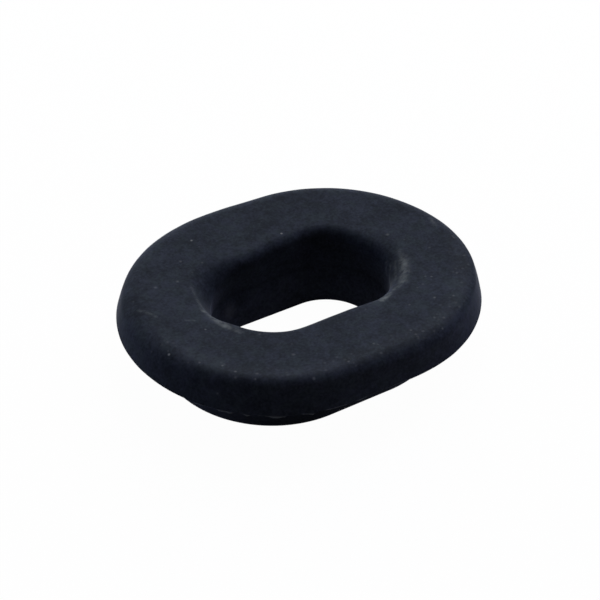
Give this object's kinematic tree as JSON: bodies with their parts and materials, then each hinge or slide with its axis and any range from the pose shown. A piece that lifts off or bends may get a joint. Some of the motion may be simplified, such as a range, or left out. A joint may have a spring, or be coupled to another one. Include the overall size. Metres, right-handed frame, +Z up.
{
  "type": "rubber grommet",
  "caption": "Oblong moulded rubber grommet: wide rounded flange, panel groove and smaller lower flange around a bore with a sealing lip, to line a panel cut-out.",
  "frame": {"origin": "centre of the bore on the underside of the lower flange, which is the face that the part rests on", "axes": "+Z up through the bore towards the wide flange, +X along the oblong's long side"},
  "size_m": [0.0358, 0.0292, 0.0082],
  "materials": {
    "rubber": "matte moulded black rubber with a light dusting"
  },
  "bodies": {
    "root": {"grommet": "rubber"}
  },
  "joints": []
}
